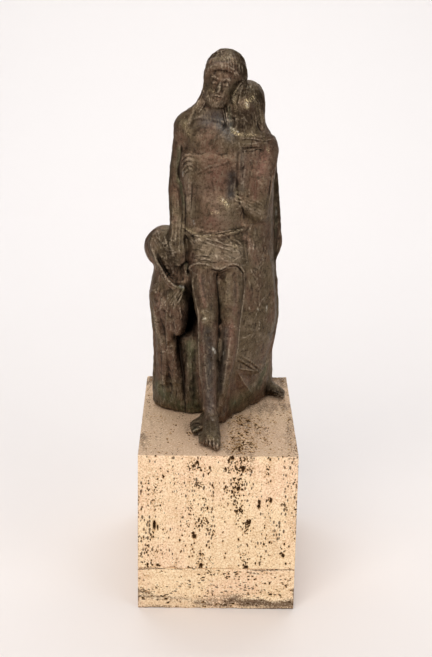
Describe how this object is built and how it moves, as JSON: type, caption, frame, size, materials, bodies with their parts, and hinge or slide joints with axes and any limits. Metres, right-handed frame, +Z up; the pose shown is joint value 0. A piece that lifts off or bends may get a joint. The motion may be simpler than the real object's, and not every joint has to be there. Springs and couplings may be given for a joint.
{
  "type": "bronze mourning group on a travertine plinth",
  "caption": "Upright bronze group of a dead man held from behind by a standing mourner, with a crouching mourner beside him, on a tall travertine block and slab.",
  "frame": {"origin": "middle of the underside of the travertine slab", "axes": "+Z up along the height, -Y towards the viewer the dead man faces, +X to the viewer's right"},
  "size_m": [0.15, 0.22, 0.5207],
  "materials": {
    "bronze": "satin",
    "travertine": "matte"
  },
  "bodies": {
    "root": {"bronze_group": "bronze", "travertine_block": "travertine", "travertine_slab": "travertine"}
  },
  "joints": []
}
